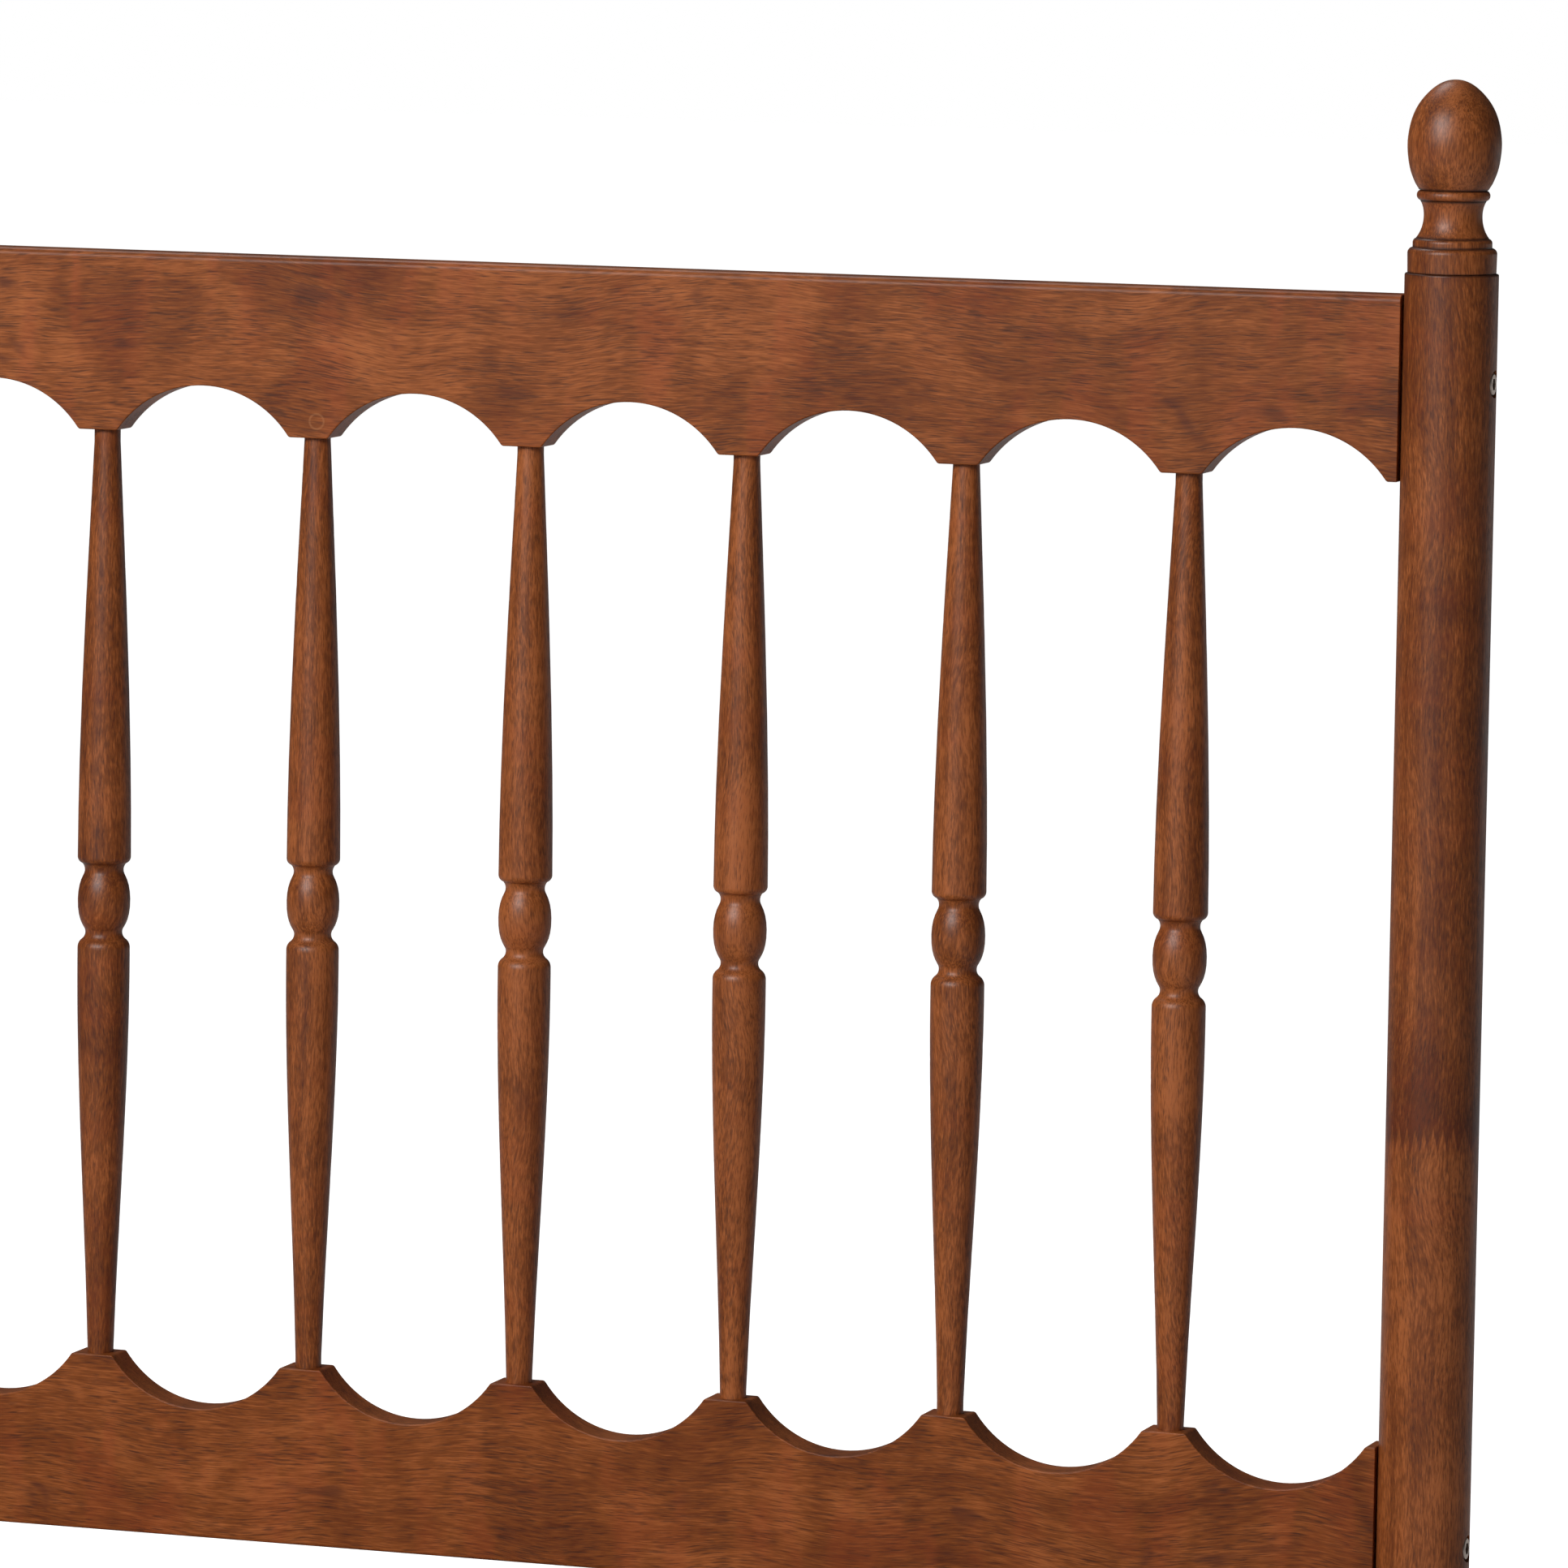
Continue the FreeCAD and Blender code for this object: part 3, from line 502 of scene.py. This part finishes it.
def settle(piece):
    # turns what a piece's modifiers make into its own mesh
    graph = bpy.context.evaluated_depsgraph_get()
    piece.data = bpy.data.meshes.new_from_object(piece.evaluated_get(graph))
    piece.modifiers.clear()


makeRail("head_top_rail", "upper", headRailWood)
makeRail("head_lower_rail", "lower", crossRailWood)
makeRail("foot_top_rail", "upper", crossRailWood)
makeRail("foot_lower_rail", "lower", crossRailWood)
print("rails shaped")


# a pale floor and a soft room
studio = {
    "floorHalf": 30.0,
    "glowStart": 1.6,
    "glowEnd": 3.4,
    "nearGlow": 0.32,
    "ambient": 0.05,
    "mirrorFront": 0.28,        # how bright the room in front looks in reflections, then behind, then elsewhere
    "mirrorBack": 0.18,
    "mirrorRest": 0.05,
    "mirrorCorner": 0.95,       # a pale patch far behind on the right, which the bolt heads show
}


def frontZone(finish, x, y):
    # 1 in the wedge of the room in front of the bed, from 40 degrees left to 48 right
    turn = finish.sum("ARCTAN2", x, 0 - y)
    return turn.above(-0.80, -0.60) * (1 - turn.above(0.75, 0.95))


def floorMaterial():
    finish = Finish("paleFloor")
    x, y, z = finish.split(finish.place())
    reach = finish.sum("SQRT", x * x + y * y)
    glow = studio["nearGlow"] + reach.above(studio["glowStart"], studio["glowEnd"]) * (1 - studio["nearGlow"])
    path = finish.tree.nodes.new("ShaderNodeLightPath")
    seen = Wire(finish, path.outputs["Is Camera Ray"]) + Wire(finish, path.outputs["Is Transmission Ray"])
    mirrored = Wire(finish, path.outputs["Is Glossy Ray"])
    behind = y.above(1.6, 3.0) * (1 - y.above(6.0, 9.0)) * (1 - finish.sum("ABSOLUTE", x).above(2.0, 4.0))
    room = frontZone(finish, x, y) * studio["mirrorFront"] + behind * studio["mirrorBack"] + studio["mirrorRest"]
    room = room + y.above(6.0, 9.0) * x.above(3.0, 4.5) * studio["mirrorCorner"]
    pale = finish.add("ShaderNodeBsdfDiffuse", {}, {"Color": (0.78, 0.78, 0.78, 1)})
    light = finish.add("ShaderNodeEmission", {}, {"Color": (1, 1, 1, 1), "Strength": glow * (seen + mirrored * room)})
    both = finish.add("ShaderNodeAddShader", {}, {0: pale, 1: light})
    finish.add("ShaderNodeOutputMaterial", {}, {0: both})
    return finish.material


def makeFloor():
    half = studio["floorHalf"]
    mesh = bpy.data.meshes.new("floor")
    mesh.from_pydata([(-half, -half, 0), (half, -half, 0), (half, half, 0), (-half, half, 0)], [], [(0, 1, 2, 3)])
    floor = bpy.data.objects.new("floor", mesh)
    bpy.context.scene.collection.objects.link(floor)
    mesh.materials.append(floorMaterial())


def makeWorld():
    world = bpy.data.worlds.new("studio")
    bpy.context.scene.world = world
    world.use_nodes = True
    finish = Finish("studio", world.node_tree)
    path = finish.tree.nodes.new("ShaderNodeLightPath")
    seen = Wire(finish, path.outputs["Is Camera Ray"]) + Wire(finish, path.outputs["Is Transmission Ray"])
    mirrored = Wire(finish, path.outputs["Is Glossy Ray"])
    x, y, z = finish.split(finish.add("ShaderNodeTexCoord", {}, {}, out="Generated"))
    room = frontZone(finish, x, y) * (1 - z.above(0.15, 0.5)) * studio["mirrorFront"] + studio["mirrorRest"]
    strength = seen + (1 - seen) * (mirrored * room + (1 - mirrored) * studio["ambient"])
    light = finish.add("ShaderNodeBackground", {}, {"Color": (1, 1, 1, 1), "Strength": strength})
    finish.add("ShaderNodeOutputWorld", {}, {0: light})


lamps = {
    "keyLight": {"aim": (-0.1, 1.0, 1.0), "azimuth": 11, "elevation": 28, "distance": 4.6,
                 "size": (2.8, 1.6), "power": 206},
    "frontFill": {"aim": (0.3, 0.6, 0.9), "azimuth": -24, "elevation": 16, "distance": 7.0,
                  "size": (2.4, 2.0), "power": 3},
    "backLight": {"aim": (0.0, 0.6, 0.8), "azimuth": 150, "elevation": 58, "distance": 5.0,
                  "size": (1.8, 1.4), "power": 60},
}


def softbox(name, aim, azimuth, elevation, distance, size, power):
    # azimuth in degrees from the bed's foot towards its left side
    turn, lift = math.radians(azimuth), math.radians(elevation)
    away = Vector((-math.sin(turn) * math.cos(lift), -math.cos(turn) * math.cos(lift), math.sin(lift)))
    lamp = bpy.data.lights.new(name, "AREA")
    lamp.shape = "RECTANGLE"
    lamp.size, lamp.size_y = size
    lamp.energy = power
    holder = bpy.data.objects.new(name, lamp)
    bpy.context.scene.collection.objects.link(holder)
    holder.location = Vector(aim) + away * distance
    holder.rotation_mode = "QUATERNION"
    holder.rotation_quaternion = (-away).to_track_quat("-Z", "Y")


makeFloor()
makeWorld()
for name, lamp in lamps.items():
    softbox(name, **lamp)
print("studio lit")


# a long lens to the right of the bed, looking a little down and to the left
lens = {
    "place": (2.1116, -4.0671, 1.4888),
    "turnLeft": 18.5,
    "tiltDown": 6.236,
    "roll": 0.882,
    "pixelFocal": 12051.6,
    "framePixels": 1932,
    "sensor": 36.0,
}


def makeCamera():
    turn, tilt, roll = (math.radians(lens[key]) for key in ("turnLeft", "tiltDown", "roll"))
    ahead = Vector((-math.sin(turn) * math.cos(tilt), math.cos(turn) * math.cos(tilt), -math.sin(tilt)))
    level = Vector((math.cos(turn), math.sin(turn), 0))
    above = level.cross(ahead)
    right = level * math.cos(roll) + above * math.sin(roll)
    up = above * math.cos(roll) - level * math.sin(roll)
    data = bpy.data.cameras.new("camera")
    data.sensor_width = lens["sensor"]
    data.lens = lens["pixelFocal"] / lens["framePixels"] * lens["sensor"]
    data.clip_end = 100
    camera = bpy.data.objects.new("camera", data)
    bpy.context.scene.collection.objects.link(camera)
    turned = Matrix((right, up, -ahead)).transposed().to_4x4()
    camera.matrix_world = Matrix.Translation(lens["place"]) @ turned
    bpy.context.scene.camera = camera


makeCamera()
bpy.context.scene.view_settings.view_transform = "Standard"

print("scene ready")
